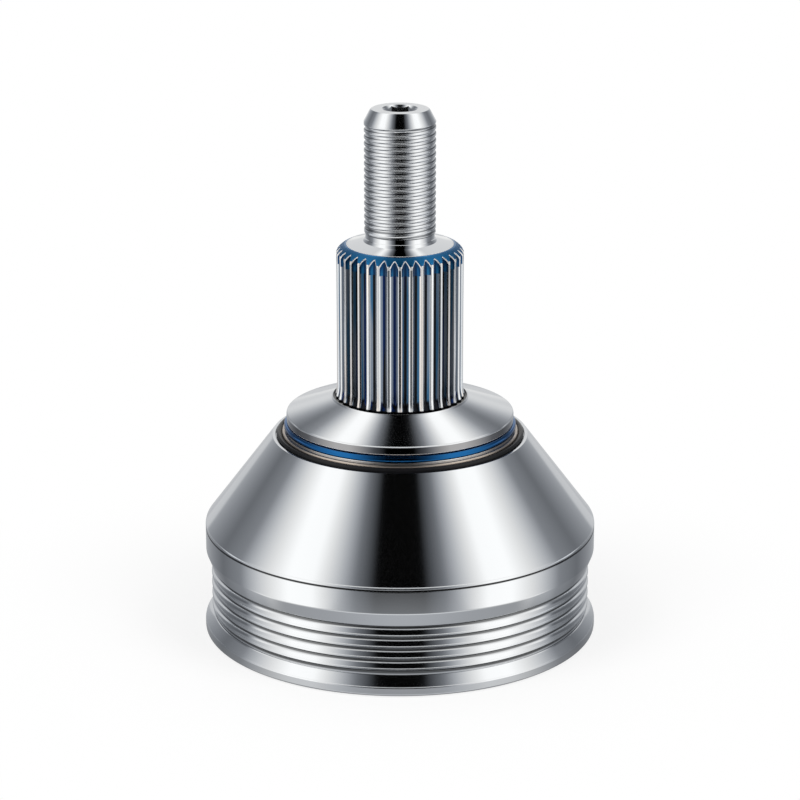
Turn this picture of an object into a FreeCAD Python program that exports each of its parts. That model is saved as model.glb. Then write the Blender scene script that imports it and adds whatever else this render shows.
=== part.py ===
import FreeCAD, Part
import math
import os

# Outer constant-velocity joint of a front-wheel-drive shaft, in millimetres.
# The joint stands on its open mouth: the mouth face is Z = 0, the stub axle points up (+Z),
# and the origin is the centre of the mouth. The joint bends about +Y.

V = FreeCAD.Vector
UP = V(0, 0, 1)
FULL_TURN = 360.0

# Balls and the tracks that they roll in
ball_count = 6
ball_diameter = 17.46
ball_circle_radius = 30.2
track_offset = 3.0
track_clearance = 0.15
track_end_angle = 30.0
track_cut_start = -60.0
race_cut_start = -70.0
race_cut_end = 60.0

# Cage
cage_thickness = 5.2
cage_width = 27.0
cage_edge_chamfer = 0.8
sphere_clearance = 0.08
window_play_side = 1.6
window_play_up = 0.33
window_play_down = 0.17
window_corner_radius = 4.0

# Inner race, with the splined bore for the half-shaft
race_width = 23.0
race_edge_chamfer = 0.6
shaft_teeth = 26
shaft_spline_radius = 12.6
shaft_tooth_depth = 1.0
bore_chamfer = 1.2

# Circlip in the bore
circlip_wire = 2.0
circlip_reach = 0.8
circlip_groove_play = 0.1
circlip_inset = 4.0
circlip_gap_angle = 40.0

# Bell, from the mouth up
foot_overhang = 0.4
foot_height = 2.15
foot_edge_round = 0.4
flare_height = 1.65
flare_top_depth = 0.3
flare_neck_depth = 0.65
flare_edge_height = 0.15
flare_sag = 0.35
neck_groove_height = 1.0
rib_crest_drop = 1.2
rib_count = 4
rib_pitch = 2.6
rib_crest_width = 0.3
rib_depth = 0.75
rib_undercut_height = 0.5
rib_sag = 0.12
band_chamfer_height = 3.1
wall_over_tracks = 5.52
centre_below_band = 2.95
cone_slope = 52.9
cone_wall = 3.71
cone_edge_round = 0.3
band_line_drop = 0.35
band_line_width = 0.4
band_line_depth = 0.3
mouth_chamfer = 2.0
end_wall_gap = 0.3

# Collar and the rings seated round its foot
collar_radius = 25.8
collar_height = 5.7
collar_edge_round = 0.4
collar_rise = 4.0
seal_seat_depth = 0.8
cone_rim_width = 0.5
backing_ring_width = 1.05
backing_ring_height = 1.5
dust_seal_width = 1.3
dust_seal_height = 1.15
dust_seal_gap = 0.15
blue_ring_drop = 0.8
blue_ring_height = 1.5
blue_ring_stands_out = 0.55
blue_ring_lift = 0.4
blue_ring_round = 0.35
collar_lower_chamfer = 0.3

# Splined stem that drives the wheel hub
hub_teeth = 36
hub_spline_radius = 14.25
hub_tooth_depth = 1.1
hub_spline_length = 35.1
hub_runout_radius = 5.0
hub_lead_height = 1.7
hub_lead_depth = 2.25
hub_lead_round = 3.6

# Shares of one tooth pitch
tooth_tip_share = 0.24
tooth_root_share = 0.08

# Stub for the axle nut, left plain at the outside diameter of its thread
stub_diameter = 16.0
stub_length = 25.0
neck_depth = 0.25
neck_height = 0.9
neck_fillet = 0.9
shoulder_rise = 0.8
tip_taper_depth = 1.3
tip_taper_height = 2.45
tip_round = 0.35
socket_across_flats = 6.5
socket_depth = 5.0
socket_chamfer = 0.35

# How far a cutting tool runs past the surface that it leaves
overrun = 1.0

# Radii that follow from the sizes above
ball_radius = ball_diameter / 2
track_radius = ball_radius + track_clearance
track_circle_radius = math.hypot(ball_circle_radius, track_offset)
cage_inner_radius = ball_circle_radius - cage_thickness / 2
cage_outer_radius = ball_circle_radius + cage_thickness / 2
race_radius = cage_inner_radius - sphere_clearance
cavity_radius = cage_outer_radius + sphere_clearance
shaft_root_radius = shaft_spline_radius - shaft_tooth_depth
hub_root_radius = hub_spline_radius - hub_tooth_depth
stub_radius = stub_diameter / 2
band_radius = ball_circle_radius + track_radius + wall_over_tracks
crest_radius = band_radius - rib_crest_drop
foot_radius = band_radius + foot_overhang
backing_ring_radius = collar_radius + backing_ring_width
dust_seal_radius = backing_ring_radius + dust_seal_width
seat_radius = dust_seal_radius + dust_seal_gap
cone_top_radius = seat_radius + cone_rim_width
shoulder_radius = hub_spline_radius - hub_lead_depth

# Heights that follow from the sizes above
neck_groove_bottom = foot_height + flare_height + flare_edge_height
ribs_bottom = neck_groove_bottom + neck_groove_height + rib_undercut_height
ribs_top = ribs_bottom + rib_count * rib_pitch
band_bottom = ribs_top + band_chamfer_height
joint_centre = band_bottom - centre_below_band
outer_track_centre = joint_centre - track_offset
inner_track_centre = joint_centre + track_offset
cavity_ceiling = joint_centre + race_radius + end_wall_gap


def cone_height(radius):
    """Height of the bell's cone at a radius: its wall over the ball tracks is cone_wall thick."""
    slope = math.radians(cone_slope)
    reach = track_circle_radius + track_radius + cone_wall
    return outer_track_centre + (reach - radius * math.sin(slope)) / math.cos(slope)


band_top = cone_height(band_radius)
cone_top = cone_height(cone_top_radius)
seal_seat = cone_top - seal_seat_depth
backing_ring_top = seal_seat + backing_ring_height
blue_ring_bottom = backing_ring_top + blue_ring_lift
blue_ring_top = blue_ring_bottom + blue_ring_height
collar_top = seal_seat + collar_height
spline_bottom = collar_top + collar_rise
spline_top = spline_bottom + hub_spline_length
shoulder_top = spline_top + shoulder_rise
neck_top = shoulder_top + neck_fillet + neck_height
stub_top = neck_top + neck_depth + stub_length
tip_height = stub_top + tip_taper_height + tip_round


def outline_face(start, steps):
    """A face in the XZ plane. Each step is [end] for a straight edge or [middle, end] for an arc."""
    first = V(start[0], 0, start[1])
    here = first
    edges = []
    for step in steps:
        points = [V(radius, 0, height) for radius, height in step]
        if len(points) == 1:
            edges.append(Part.makeLine(here, points[0]))
        else:
            edges.append(Part.Arc(here, points[0], points[1]).toShape())
        here = points[-1]
    edges.append(Part.makeLine(here, first))
    return Part.Face(Part.Wire(edges))


def turned(start, steps, angle=FULL_TURN):
    """An outline turned about the Z axis."""
    return outline_face(start, steps).revolve(V(0, 0, 0), UP, angle)


def round_corner(corner, size, start_side, end_side):
    """A quarter round of one size at a corner, from one side's direction to the other's."""
    start = (corner[0] + size * start_side[0], corner[1] + size * start_side[1])
    end = (corner[0] + size * end_side[0], corner[1] + size * end_side[1])
    centre = (start[0] + end[0] - corner[0], start[1] + end[1] - corner[1])
    across = (corner[0] - centre[0], corner[1] - centre[1])
    share = size / math.hypot(*across)
    middle = (centre[0] + across[0] * share, centre[1] + across[1] * share)
    return [start], [middle, end]


def sagging_arc(start, end, sag):
    """An arc from start to end whose middle lies sag to the left of the straight line between them."""
    run = (end[0] - start[0], end[1] - start[1])
    length = math.hypot(*run)
    middle = (
        (start[0] + end[0]) / 2 - run[1] / length * sag,
        (start[1] + end[1]) / 2 + run[0] / length * sag,
    )
    return [middle, end]


def ball_slice(radius, width, chamfer):
    """A sphere round the joint centre cut to a width, with chamfered edges."""
    bottom = joint_centre - width / 2
    top = joint_centre + width / 2
    edge_radius = math.sqrt(radius ** 2 - (width / 2) ** 2) - chamfer
    envelope = turned((0, bottom), [
        [(edge_radius, bottom)],
        [(edge_radius + width / 2, joint_centre)],
        [(edge_radius, top)],
        [(0, top)],
    ])
    return Part.makeSphere(radius, V(0, 0, joint_centre)).common(envelope)


def toothed_face(count, tip_radius, root_radius, height):
    """The cross-section of a spline with the given number of teeth."""
    pitch = 2 * math.pi / count
    tip_half = pitch * tooth_tip_share / 2
    root_half = pitch * tooth_root_share / 2

    def at(radius, angle):
        return V(radius * math.cos(angle), radius * math.sin(angle), height)

    edges = []
    for tooth in range(count):
        middle = tooth * pitch
        valley = middle + pitch / 2
        tip_end = at(tip_radius, middle + tip_half)
        root_start = at(root_radius, valley - root_half)
        root_end = at(root_radius, valley + root_half)
        next_tip = at(tip_radius, middle + pitch - tip_half)
        edges.append(Part.Arc(at(tip_radius, middle - tip_half), at(tip_radius, middle), tip_end).toShape())
        edges.append(Part.makeLine(tip_end, root_start))
        edges.append(Part.Arc(root_start, at(root_radius, valley), root_end).toShape())
        edges.append(Part.makeLine(root_end, next_tip))
    return Part.Face(Part.Wire(edges))


def ball_azimuths():
    """Directions of the balls round the joint, in degrees from +X."""
    return [FULL_TURN * number / ball_count for number in range(ball_count)]


def track_cutter(centre_height, azimuth, start_angle, end_angle):
    """The curved channel that a ball track is cut with, from one elevation to another."""
    direction = math.radians(azimuth)
    outward = V(math.cos(direction), math.sin(direction), 0)
    across = V(math.sin(direction), -math.cos(direction), 0)
    centre = V(0, 0, centre_height)
    start = math.radians(start_angle)
    place = centre + (outward * math.cos(start) + UP * math.sin(start)) * track_circle_radius
    along = UP * math.cos(start) - outward * math.sin(start)
    section = Part.Face(Part.Wire(Part.makeCircle(track_radius, place, along)))
    return section.revolve(centre, across, end_angle - start_angle)


def track_end(centre_height, azimuth, angle):
    """The round end that the cutter leaves at the closed side of a track."""
    direction = math.radians(azimuth)
    elevation = math.radians(angle)
    flat = track_circle_radius * math.cos(elevation)
    height = centre_height + track_circle_radius * math.sin(elevation)
    return Part.makeSphere(track_radius, V(flat * math.cos(direction), flat * math.sin(direction), height))


def boot_seat_steps():
    """The ribs that hold the rubber boot, from the flare above the foot to the band."""
    neck_radius = crest_radius - flare_neck_depth
    flare_start = (foot_radius, foot_height)
    flare_end = (crest_radius - flare_top_depth, foot_height + flare_height)
    steps = [[flare_start], sagging_arc(flare_start, flare_end, flare_sag)]
    steps.append([(neck_radius, neck_groove_bottom)])
    steps.append([(neck_radius, neck_groove_bottom + neck_groove_height)])
    steps.append([(crest_radius, ribs_bottom)])
    for rib in range(rib_count):
        base = ribs_bottom + rib * rib_pitch
        crest_end = (crest_radius, base + rib_crest_width)
        deepest = (crest_radius - rib_depth, base + rib_pitch - rib_undercut_height)
        steps.append([crest_end])
        steps.append(sagging_arc(crest_end, deepest, rib_sag))
        steps.append([(crest_radius, base + rib_pitch)])
    return steps


def band_steps():
    """The chamfer and the widest band, with the fine turned line under the cone's edge."""
    line_top = band_top - band_line_drop
    line_bottom = line_top - band_line_width
    return [
        [(band_radius, band_bottom)],
        [(band_radius, line_bottom)],
        [(band_radius - band_line_depth, line_bottom + band_line_width / 2)],
        [(band_radius, line_top)],
        [(band_radius, band_top - cone_edge_round)],
        [(band_radius - cone_edge_round / 2, cone_height(band_radius - cone_edge_round / 2))],
    ]


def collar_steps():
    """The cone's top rim, the seat for the rings and the collar above it."""
    rim_inside = cone_top_radius - cone_rim_width
    groove_radius = collar_radius - blue_ring_drop
    into_rim, over_rim = round_corner(
        (collar_radius, collar_top), collar_edge_round, (0, -1), (-1, collar_rise / collar_radius)
    )
    return [
        [(cone_top_radius, cone_top)],
        [(rim_inside, cone_top)],
        [(seat_radius, seal_seat)],
        [(collar_radius, seal_seat)],
        [(collar_radius, blue_ring_bottom)],
        [(groove_radius, blue_ring_bottom)],
        [(groove_radius, blue_ring_top)],
        [(collar_radius - collar_lower_chamfer, blue_ring_top)],
        [(collar_radius, blue_ring_top + collar_lower_chamfer)],
        into_rim,
        over_rim,
        [(hub_spline_radius, spline_bottom)],
    ]


def lead_in_height(radius):
    """Height of the rounded lead-in of the spline at a radius."""
    outer = (hub_spline_radius, spline_top - hub_lead_height)
    inner = (shoulder_radius, spline_top)
    span = math.hypot(hub_lead_depth, hub_lead_height)
    reach = math.sqrt(hub_lead_round ** 2 - (span / 2) ** 2) / span
    centre_radius = (outer[0] + inner[0]) / 2 - hub_lead_height * reach
    centre_height = (outer[1] + inner[1]) / 2 - hub_lead_depth * reach
    return centre_height + math.sqrt(hub_lead_round ** 2 - (radius - centre_radius) ** 2)


def lead_in_steps(start_radius):
    """The rounded lead-in, from a radius to the edge of the shoulder."""
    middle_radius = (start_radius + shoulder_radius) / 2
    return [
        [(start_radius, lead_in_height(start_radius))],
        [(middle_radius, lead_in_height(middle_radius)), (shoulder_radius, spline_top)],
    ]


def stem_steps():
    """The core of the spline, its run-out, the neck, the stub and its tapered tip."""
    runout = math.sqrt(2 * hub_runout_radius * hub_tooth_depth - hub_tooth_depth ** 2)
    runout_centre = hub_root_radius + hub_runout_radius
    half = math.asin(runout / hub_runout_radius) / 2
    runout_middle = (
        runout_centre - hub_runout_radius * math.cos(half),
        spline_bottom + runout - hub_runout_radius * math.sin(half),
    )
    neck_radius = stub_radius - neck_depth
    onto_neck = round_corner((neck_radius, shoulder_top), neck_fillet, (1, 0), (0, 1))
    tip_radius = stub_radius - tip_taper_depth
    return [
        [runout_middle, (hub_root_radius, spline_bottom + runout)],
        *lead_in_steps(hub_root_radius),
        onto_neck[0],
        onto_neck[1],
        [(neck_radius, neck_top)],
        [(stub_radius, neck_top + neck_depth)],
        [(stub_radius, stub_top)],
        [(tip_radius, stub_top + tip_taper_height)],
        [(tip_radius - tip_round, tip_height)],
        [(0, tip_height)],
    ]


def hub_spline():
    """The teeth of the stem, with the rounded lead-in at their upper end."""
    prism = toothed_face(hub_teeth, hub_spline_radius, hub_root_radius, spline_bottom)
    prism = prism.extrude(UP * hub_spline_length)
    steps = [[(hub_spline_radius, spline_bottom)]] + lead_in_steps(hub_spline_radius) + [[(0, spline_top)]]
    return prism.common(turned((0, spline_bottom), steps))


def key_socket():
    """The hexagonal socket in the tip that holds the stem while the axle nut is turned."""
    corner_radius = socket_across_flats / 2 / math.cos(math.radians(30))
    floor = tip_height - socket_depth
    corners = [V(corner_radius, 0, floor)]
    for corner in range(1, 7):
        angle = math.radians(60 * corner)
        corners.append(V(corner_radius * math.cos(angle), corner_radius * math.sin(angle), floor))
    prism = Part.Face(Part.makePolygon(corners)).extrude(UP * socket_depth)
    bevel = Part.makeCone(
        corner_radius - socket_chamfer, corner_radius + socket_chamfer, 2 * socket_chamfer,
        V(0, 0, tip_height - socket_chamfer), UP,
    )
    return prism.fuse(bevel)


def bell_cavity():
    """The spherical chamber that the cage turns in, open at the mouth."""
    chamber = Part.makeSphere(cavity_radius, V(0, 0, joint_centre))
    below_ceiling = Part.makeCylinder(
        cavity_radius + overrun, cavity_ceiling + cavity_radius, V(0, 0, -cavity_radius)
    )
    chamber = chamber.common(below_ceiling)
    mouth_radius = math.sqrt(cavity_radius ** 2 - joint_centre ** 2)
    flare = Part.makeCone(
        mouth_radius + 2 * mouth_chamfer, mouth_radius, 2 * mouth_chamfer, V(0, 0, -mouth_chamfer / 2), UP
    )
    return chamber.fuse(flare)


def make_outer_race():
    """Bell, collar, splined stem and stub, one forging."""
    start_step, foot_round = round_corner((foot_radius, 0), foot_edge_round, (-1, 0), (0, 1))
    steps = [foot_round]
    steps += boot_seat_steps() + band_steps() + collar_steps() + stem_steps()
    steps.append([(0, 0)])
    blank = turned(start_step[0], steps)
    blank = blank.cut(bell_cavity())
    for azimuth in ball_azimuths():
        blank = blank.cut(track_cutter(outer_track_centre, azimuth, track_cut_start, track_end_angle))
        blank = blank.cut(track_end(outer_track_centre, azimuth, track_end_angle))
    blank = blank.fuse(hub_spline())
    return blank.cut(key_socket()).removeSplitter()


def make_inner_race():
    """The star that the half-shaft drives: six outside tracks and a splined bore."""
    bottom = joint_centre - race_width / 2
    race = ball_slice(race_radius, race_width, race_edge_chamfer)
    for azimuth in ball_azimuths():
        race = race.cut(track_cutter(inner_track_centre, azimuth, race_cut_start, race_cut_end))
    bore = toothed_face(shaft_teeth, shaft_spline_radius, shaft_root_radius, bottom)
    race = race.cut(bore.extrude(UP * race_width))
    wide = shaft_spline_radius + bore_chamfer
    narrow = shaft_root_radius - bore_chamfer
    depth = wide - narrow
    lower = Part.makeCone(wide, narrow, depth, V(0, 0, bottom), UP)
    upper = Part.makeCone(wide, narrow, depth, V(0, 0, bottom + race_width), UP * -1)
    groove = Part.makeTorus(
        circlip_ring_radius(), circlip_wire / 2 + circlip_groove_play, V(0, 0, circlip_height()), UP
    )
    return race.cut(lower).cut(upper).cut(groove).removeSplitter()


def circlip_ring_radius():
    """Radius of the circlip's wire centre: it reaches past the shaft's tooth roots by its reach."""
    return shaft_root_radius - circlip_reach + circlip_wire / 2


def circlip_height():
    return joint_centre + race_width / 2 - circlip_inset


def make_circlip():
    """The open wire ring that snaps into the half-shaft's groove."""
    place = V(circlip_ring_radius(), 0, circlip_height())
    section = Part.Face(Part.Wire(Part.makeCircle(circlip_wire / 2, place, V(0, 1, 0))))
    ring = section.revolve(V(0, 0, 0), UP, FULL_TURN - circlip_gap_angle)
    ring.rotate(V(0, 0, 0), UP, circlip_gap_angle / 2)
    return ring


def window_cutter(azimuth):
    """One window of the cage: a rounded slot with straight sides, cut outwards."""
    half_length = ball_radius + window_play_side
    low = joint_centre - ball_radius - window_play_down
    height = 2 * ball_radius + window_play_down + window_play_up
    start = cage_inner_radius / 2
    block = Part.makeBox(cage_outer_radius, 2 * half_length, height, V(start, -half_length, low))
    along = [edge for edge in block.Edges if abs(edge.tangentAt(edge.FirstParameter).x) > 0.99]
    slot = block.makeFillet(window_corner_radius, along)
    slot.rotate(V(0, 0, 0), UP, azimuth)
    return slot


def make_cage():
    """The ring that keeps all the balls in one plane."""
    ring = ball_slice(cage_outer_radius, cage_width, cage_edge_chamfer)
    ring = ring.cut(Part.makeSphere(cage_inner_radius, V(0, 0, joint_centre)))
    for azimuth in ball_azimuths():
        ring = ring.cut(window_cutter(azimuth))
    return ring


def make_ball(azimuth):
    """One ball, in its window on the ball circle."""
    direction = math.radians(azimuth)
    place = V(ball_circle_radius * math.cos(direction), ball_circle_radius * math.sin(direction), joint_centre)
    return Part.makeSphere(ball_radius, place)


def make_backing_ring():
    """The thin steel ring pressed on the foot of the collar."""
    lip = backing_ring_width / 2
    return turned((collar_radius, seal_seat), [
        [(backing_ring_radius, seal_seat)],
        [(backing_ring_radius, backing_ring_top - lip)],
        [(backing_ring_radius - lip * (1 - math.sqrt(0.5)), backing_ring_top - lip * (1 - math.sqrt(0.5))),
         (backing_ring_radius - lip, backing_ring_top)],
        [(collar_radius, backing_ring_top)],
    ])


def make_dust_seal():
    """The black rubber ring moulded round the backing ring, with a domed top."""
    shoulder = dust_seal_height - dust_seal_width / 4
    return turned((backing_ring_radius, seal_seat), [
        [(dust_seal_radius, seal_seat)],
        [(dust_seal_radius, seal_seat + shoulder)],
        [((backing_ring_radius + dust_seal_radius) / 2, seal_seat + dust_seal_height),
         (backing_ring_radius, seal_seat + shoulder)],
    ])


def make_blue_ring():
    """The blue ring stretched into the collar's groove, with rounded outer edges."""
    inside = collar_radius - blue_ring_drop
    outside = collar_radius + blue_ring_stands_out
    lower = round_corner((outside, blue_ring_bottom), blue_ring_round, (-1, 0), (0, 1))
    upper = round_corner((outside, blue_ring_top), blue_ring_round, (0, -1), (-1, 0))
    return turned((inside, blue_ring_bottom), [*lower, *upper, [(inside, blue_ring_top)]])


def make_nodes():
    """Every piece under its own name."""
    nodes = {
        "outer_race": make_outer_race(),
        "steel_backing_ring": make_backing_ring(),
        "black_dust_seal": make_dust_seal(),
        "blue_seal_ring": make_blue_ring(),
        "cage": make_cage(),
        "inner_race": make_inner_race(),
        "circlip": make_circlip(),
    }
    for number, azimuth in enumerate(ball_azimuths(), start=1):
        nodes[f"ball_{number}"] = make_ball(azimuth)
    return nodes


os.makedirs("parts", exist_ok=True)
for name, shape in make_nodes().items():
    shape.exportStep(f"parts/{name}.step")
    box = shape.BoundBox
    print(f"{name}: {len(shape.Solids)} solid, {shape.Volume:.1f} mm3, valid {shape.isValid()}, "
          f"Z {box.ZMin:.2f} to {box.ZMax:.2f}, X {box.XMin:.2f} to {box.XMax:.2f}")
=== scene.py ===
import math
import bpy
import bmesh
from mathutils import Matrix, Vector


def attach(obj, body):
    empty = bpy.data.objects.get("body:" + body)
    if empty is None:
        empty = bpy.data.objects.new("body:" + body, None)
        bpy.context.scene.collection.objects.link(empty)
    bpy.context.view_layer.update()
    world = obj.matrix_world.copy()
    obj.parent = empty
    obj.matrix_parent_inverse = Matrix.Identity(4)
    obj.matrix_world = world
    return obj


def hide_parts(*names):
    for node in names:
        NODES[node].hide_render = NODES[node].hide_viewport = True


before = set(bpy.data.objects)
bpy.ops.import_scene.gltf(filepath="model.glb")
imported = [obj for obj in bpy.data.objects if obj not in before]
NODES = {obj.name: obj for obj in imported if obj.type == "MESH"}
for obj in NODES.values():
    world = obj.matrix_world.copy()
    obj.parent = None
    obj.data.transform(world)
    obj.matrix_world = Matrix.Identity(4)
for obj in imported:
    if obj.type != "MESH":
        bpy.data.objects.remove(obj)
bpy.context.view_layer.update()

# Outer constant-velocity joint standing on its mouth. Lengths are in millimetres, and MM turns
# them into the scene's metres.
MM = 0.001
FULL_TURN = 2 * math.pi

# The photograph's view
CAMERA_DISTANCE = 619.0
CAMERA_HEIGHT = 250.85
CAMERA_PITCH = 17.69
CAMERA_NEAR = 10.0
CAMERA_FAR = 50000.0
SENSOR_WIDTH = 36.0
FOCAL_LENGTH = 128.8

# The studio. A fan of upright lights and dark flags stands round the joint. Its brightness
# depends on the bearing of a direction from a point behind the joint, in degrees from the front,
# and ends in the white backdrop.
FAN_CENTRE = 0.953
FAN_STOPS = [(0, 0.0), (7, 0.0), (13, 0.22), (20, 0.85), (26, 1.35), (34, 1.38), (44, 0.85),
             (53, 0.30), (63, 0.195), (74, 0.36), (90, 0.62), (110, 1.0)]
# The other lights lie over the fan. A pair of numbers is a range over which a light comes in,
# from its first value to its second, and a SPAN is where it is full. UP is a direction's Z, BACK
# its Y, SIDE its X without the sign, and BEARING is in degrees as above.

# Below the horizon the fan is evened out round its centre
FAN_CENTRE_LEVEL = 0.6
FAN_CENTRE_REACH = (0.18, 0.10)
FAN_CENTRE_UP = (0.0, -0.08)
# The pale backdrop behind the joint
BACKDROP_LEVEL = 0.85
BACKDROP_BACK = (0.70, 0.76)
BACKDROP_SIDE = (0.29, 0.22)
BACKDROP_BEARING = (22, 36)
BACKDROP_UP = (0.08, 0.2)
# A strip of light above the horizon, which draws the edges, dimmer ahead and nearly dark aside
STRIP_LEVEL = 1.1
STRIP_LEVEL_AHEAD = 0.8
STRIP_LEVEL_ASIDE = 0.15
STRIP_UP_SPAN = (0.07, 0.20)
STRIP_SOFT = 0.04
STRIP_BACK = (0.6, 0.4)
STRIP_AHEAD_BEARING = (3, 22)
STRIP_ASIDE_SPAN = (54, 66)
STRIP_ASIDE_SOFT = 8
# A strip just below the horizon behind the joint
FAR_STRIP_LEVEL = 0.7
FAR_STRIP_UP_SPAN = (-0.12, -0.02)
FAR_STRIP_BACK = (0.45, 0.65)
# Straight below, and a strip in the floor before the joint
FLOOR_GLOSS = 0.35
FLOOR_GLOSS_UP = (-0.45, -0.95)
FLOOR_STRIP_LEVEL = 1.1
FLOOR_STRIP_UP_SPAN = (-0.72, -0.52)
FLOOR_STRIP_SOFT = 0.06
FLOOR_STRIP_BACK = (0.3, 0.1)
# Even light on matt surfaces
WORLD_FILL = 0.55
# The lights are white, and the dim cards between them slightly cool
LIGHT_TONE = (1.0, 0.99, 0.967)
CARD_TONE = (0.90, 0.955, 1.05)
FLOOR_CARD_TONE = (0.96, 0.98, 1.01)

# The floor is white paper. The camera sees pure white from SHADOW_FAR outwards, and up to
# SHADOW_NEAR the paper with a share of pure white.
FLOOR_SIZE = 6000.0
FLOOR_DROP = 0.2
PAPER_GRAIN = 40.0
PAPER_TONES = ((0.93, 0.93, 0.93), (0.95, 0.95, 0.95))
PAPER_ROUGHNESS = 0.9
SHADOW_NEAR = 40.0
SHADOW_FAR = 120.0
WHITE_SHARE_NEAR = 0.75
# What gloss sees of the floor: grey cards before and behind the joint, fading outwards
CARDS_SIZE = 800.0
CARDS_DROP = 1.0
CARD_PLACE = 75.0
CARD_REACH = 80.0
CARD_BRIGHT = 0.75
CARD_DIM = 0.2
CARD_COVERS = 0.65
CARD_NEAR = 50.0
CARD_FAR = 146.0
CARD_SIDE = 40.0
CARD_SIDE_END = 52.0
# A light card lies far out on each side, and only the stem mirrors it
SIDE_CARD_SPAN = (195.0, 300.0)
SIDE_CARD_REACH = 120.0
SIDE_CARD_FADE = 20.0
SIDE_CARD_LEVEL = 0.95
SIDE_CARD_COVERS = 0.9
# A lamp on each side, which gloss doesn't show
LAMP_SIDE = 900.0
LAMP_FRONT = 600.0
LAMP_HEIGHT = 1100.0
LAMP_AIM = 50.0
LAMP_SIZE = 800.0
LAMP_POWER = 9.0

# Turned edges: the surface is held straight for EDGE_HOLD beside a round. The round takes
# ROUND_SHARE of the way to the next corner at most, and the round with its hold HOLD_SHARE.
EDGE_HOLD = 0.15
ROUND_SHARE = 0.4
HOLD_SHARE = 0.49
ROUND_STEPS = 3
ARC_STEPS = 8
# Rounds of sharp and of softer corners
FINE_ROUND = 0.05
SOFT_ROUND = 0.1
# Narrow faces at the top of upright walls, which lean back and catch the light
FACET_LEAN = 0.22
FACET_ROUND = 0.06
# Edges steeper than this stay sharp, points nearer than this become one, and what is this near to
# the mouth's face lies in it
SHARP_ANGLE = 30.0
MERGE_DISTANCE = 0.0005
MOUTH_PLAY = 0.001

# Foot, neck and ribs of the bell
BELL_COLUMNS = 360
FOOT_RADIUS = 45.0
FOOT_INSET = 0.8
FOOT_HEIGHT = 2.15
FOOT_ROUND = 0.4
FOOT_FACET = 0.45
FLARE_TOP = (43.1, 3.8)
FLARE_SAG = 0.12
FLARE_LIP = (43.0, 4.05)
NECK_RADIUS = 42.75
NECK_BOTTOM = 4.10
NECK_TOP = 4.95
CREST_RADIUS = 43.4
RIBS_BOTTOM = 5.45
RIB_COUNT = 4
RIB_PITCH = 2.6
RIB_CREST = 0.45
RIB_FACET = 0.42
RIB_DEPTH = 0.75
RIB_SAG = 0.12
RIB_UNDERCUT = 0.5
# Band with its scored line, and the cone above it. The cone leans by CONE_SLOPE and lies at
# CONE_REACH from the point of the axis at CONE_CENTRE.
BAND_RADIUS = 44.6
BAND_BOTTOM = 18.95
BAND_ROUND = 0.2
BAND_FACET = 0.42
LINE_DROP = 0.9
LINE_WIDTH = 0.45
LINE_DEPTH = 0.3
CONE_SLOPE = math.radians(52.9)
CONE_REACH = 42.939
CONE_CENTRE = 13.0
CONE_TOP_RADIUS = 29.05
CONE_TOP_ROUND = 0.04
RIM_ROUND = 0.03
RIM_LEAN = 0.05
RING_SEAT_RADIUS = 28.3
RING_SEAT = 45.30
INSIDE_REACH = 41.0
INSIDE_TOP = 44.5
# Collar with the groove of the blue ring, and the lip and moat round the foot of the spline
COLLAR_RADIUS = 25.8
GROOVE_RADIUS = 25.0
GROOVE_BOTTOM = 47.20
GROOVE_TOP = 48.70
GROOVE_CHAMFER = 0.15
GROOVE_ROUND = 0.25
COLLAR_TOP = 51.00
COLLAR_EDGE_DROP = 0.05
COLLAR_FACET = 0.4
LIP_RADIUS = 15.4
LIP_HEIGHT = 0.22
LIP_LEAN = 0.1
LIP_WIDTH = 0.3
LIP_ROUND = 0.08
MOAT_DEPTH = 0.55
MOAT_OUTER_RADIUS = 14.9
MOAT_INNER_RADIUS = 13.05
# Seal rings
BACKING_RADIUS = 26.85
BACKING_TOP = 46.80
SEAL_RADIUS = 28.15
SEAL_SHOULDER = 46.125
SEAL_DOME = 0.325
BLUE_RADIUS = 26.35
BLUE_ROUND = 0.75

# Splined stem
TEETH = 36
TOOTH_DEPTH = 1.1
SPLINE_RADIUS = 14.25
ROOT_RADIUS = SPLINE_RADIUS - TOOTH_DEPTH
SPLINE_BOTTOM = 55.00
SPLINE_TOP = 90.10
LEAD_HEIGHT = 1.7
LEAD_DEPTH = 2.25
LEAD_ROUND = 3.6
LEAD_FOOT = SPLINE_TOP - LEAD_HEIGHT
SHOULDER_RADIUS = SPLINE_RADIUS - LEAD_DEPTH
SHOULDER_TOP = 90.90
RUNOUT_RADIUS = 5.0
RUNOUT_LEFT = 0.5
RUNOUT_LENGTH = math.sqrt(2 * RUNOUT_RADIUS * TOOTH_DEPTH - TOOTH_DEPTH ** 2)
RUNOUT_STEPS = 12
BASE_FLARE = 0.4
BASE_FLARE_HEIGHT = 3.0
# The round and the small cut at the upper ends of the teeth
EDGE_ROUND = 0.12
EDGE_CUT = 0.03
STEM_FOOT = 54.0
STEM_FOOT_INSET = 0.1
# Heights of the rings in the collar and between the run-out and the coat, and shares of the way
# along the lead-in
FOOT_RINGS = (STEM_FOOT, 54.4)
STEM_RINGS = (60.0, 70.0, 80.0)
LEAD_RINGS = (0.35, 0.6, 0.85, 1.0)
# Columns of one tooth: share of the pitch from the middle of its tip, and share of the depth
TOOTH_COLUMNS = [(0.0, 0.0), (0.095, 0.0), (0.13, 0.05), (0.22, 0.30), (0.34, 0.66), (0.45, 0.97),
                 (0.5, 1.0), (0.55, 0.97), (0.66, 0.66), (0.78, 0.30), (0.87, 0.05), (0.905, 0.0)]

# Threaded stub and the key socket in its end
STUB_COLUMNS = 144
STUB_RADIUS = 8.0
NECK_DEPTH = 0.25
NECK_FILLET = 0.9
FILLET_STEPS = 8
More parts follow.
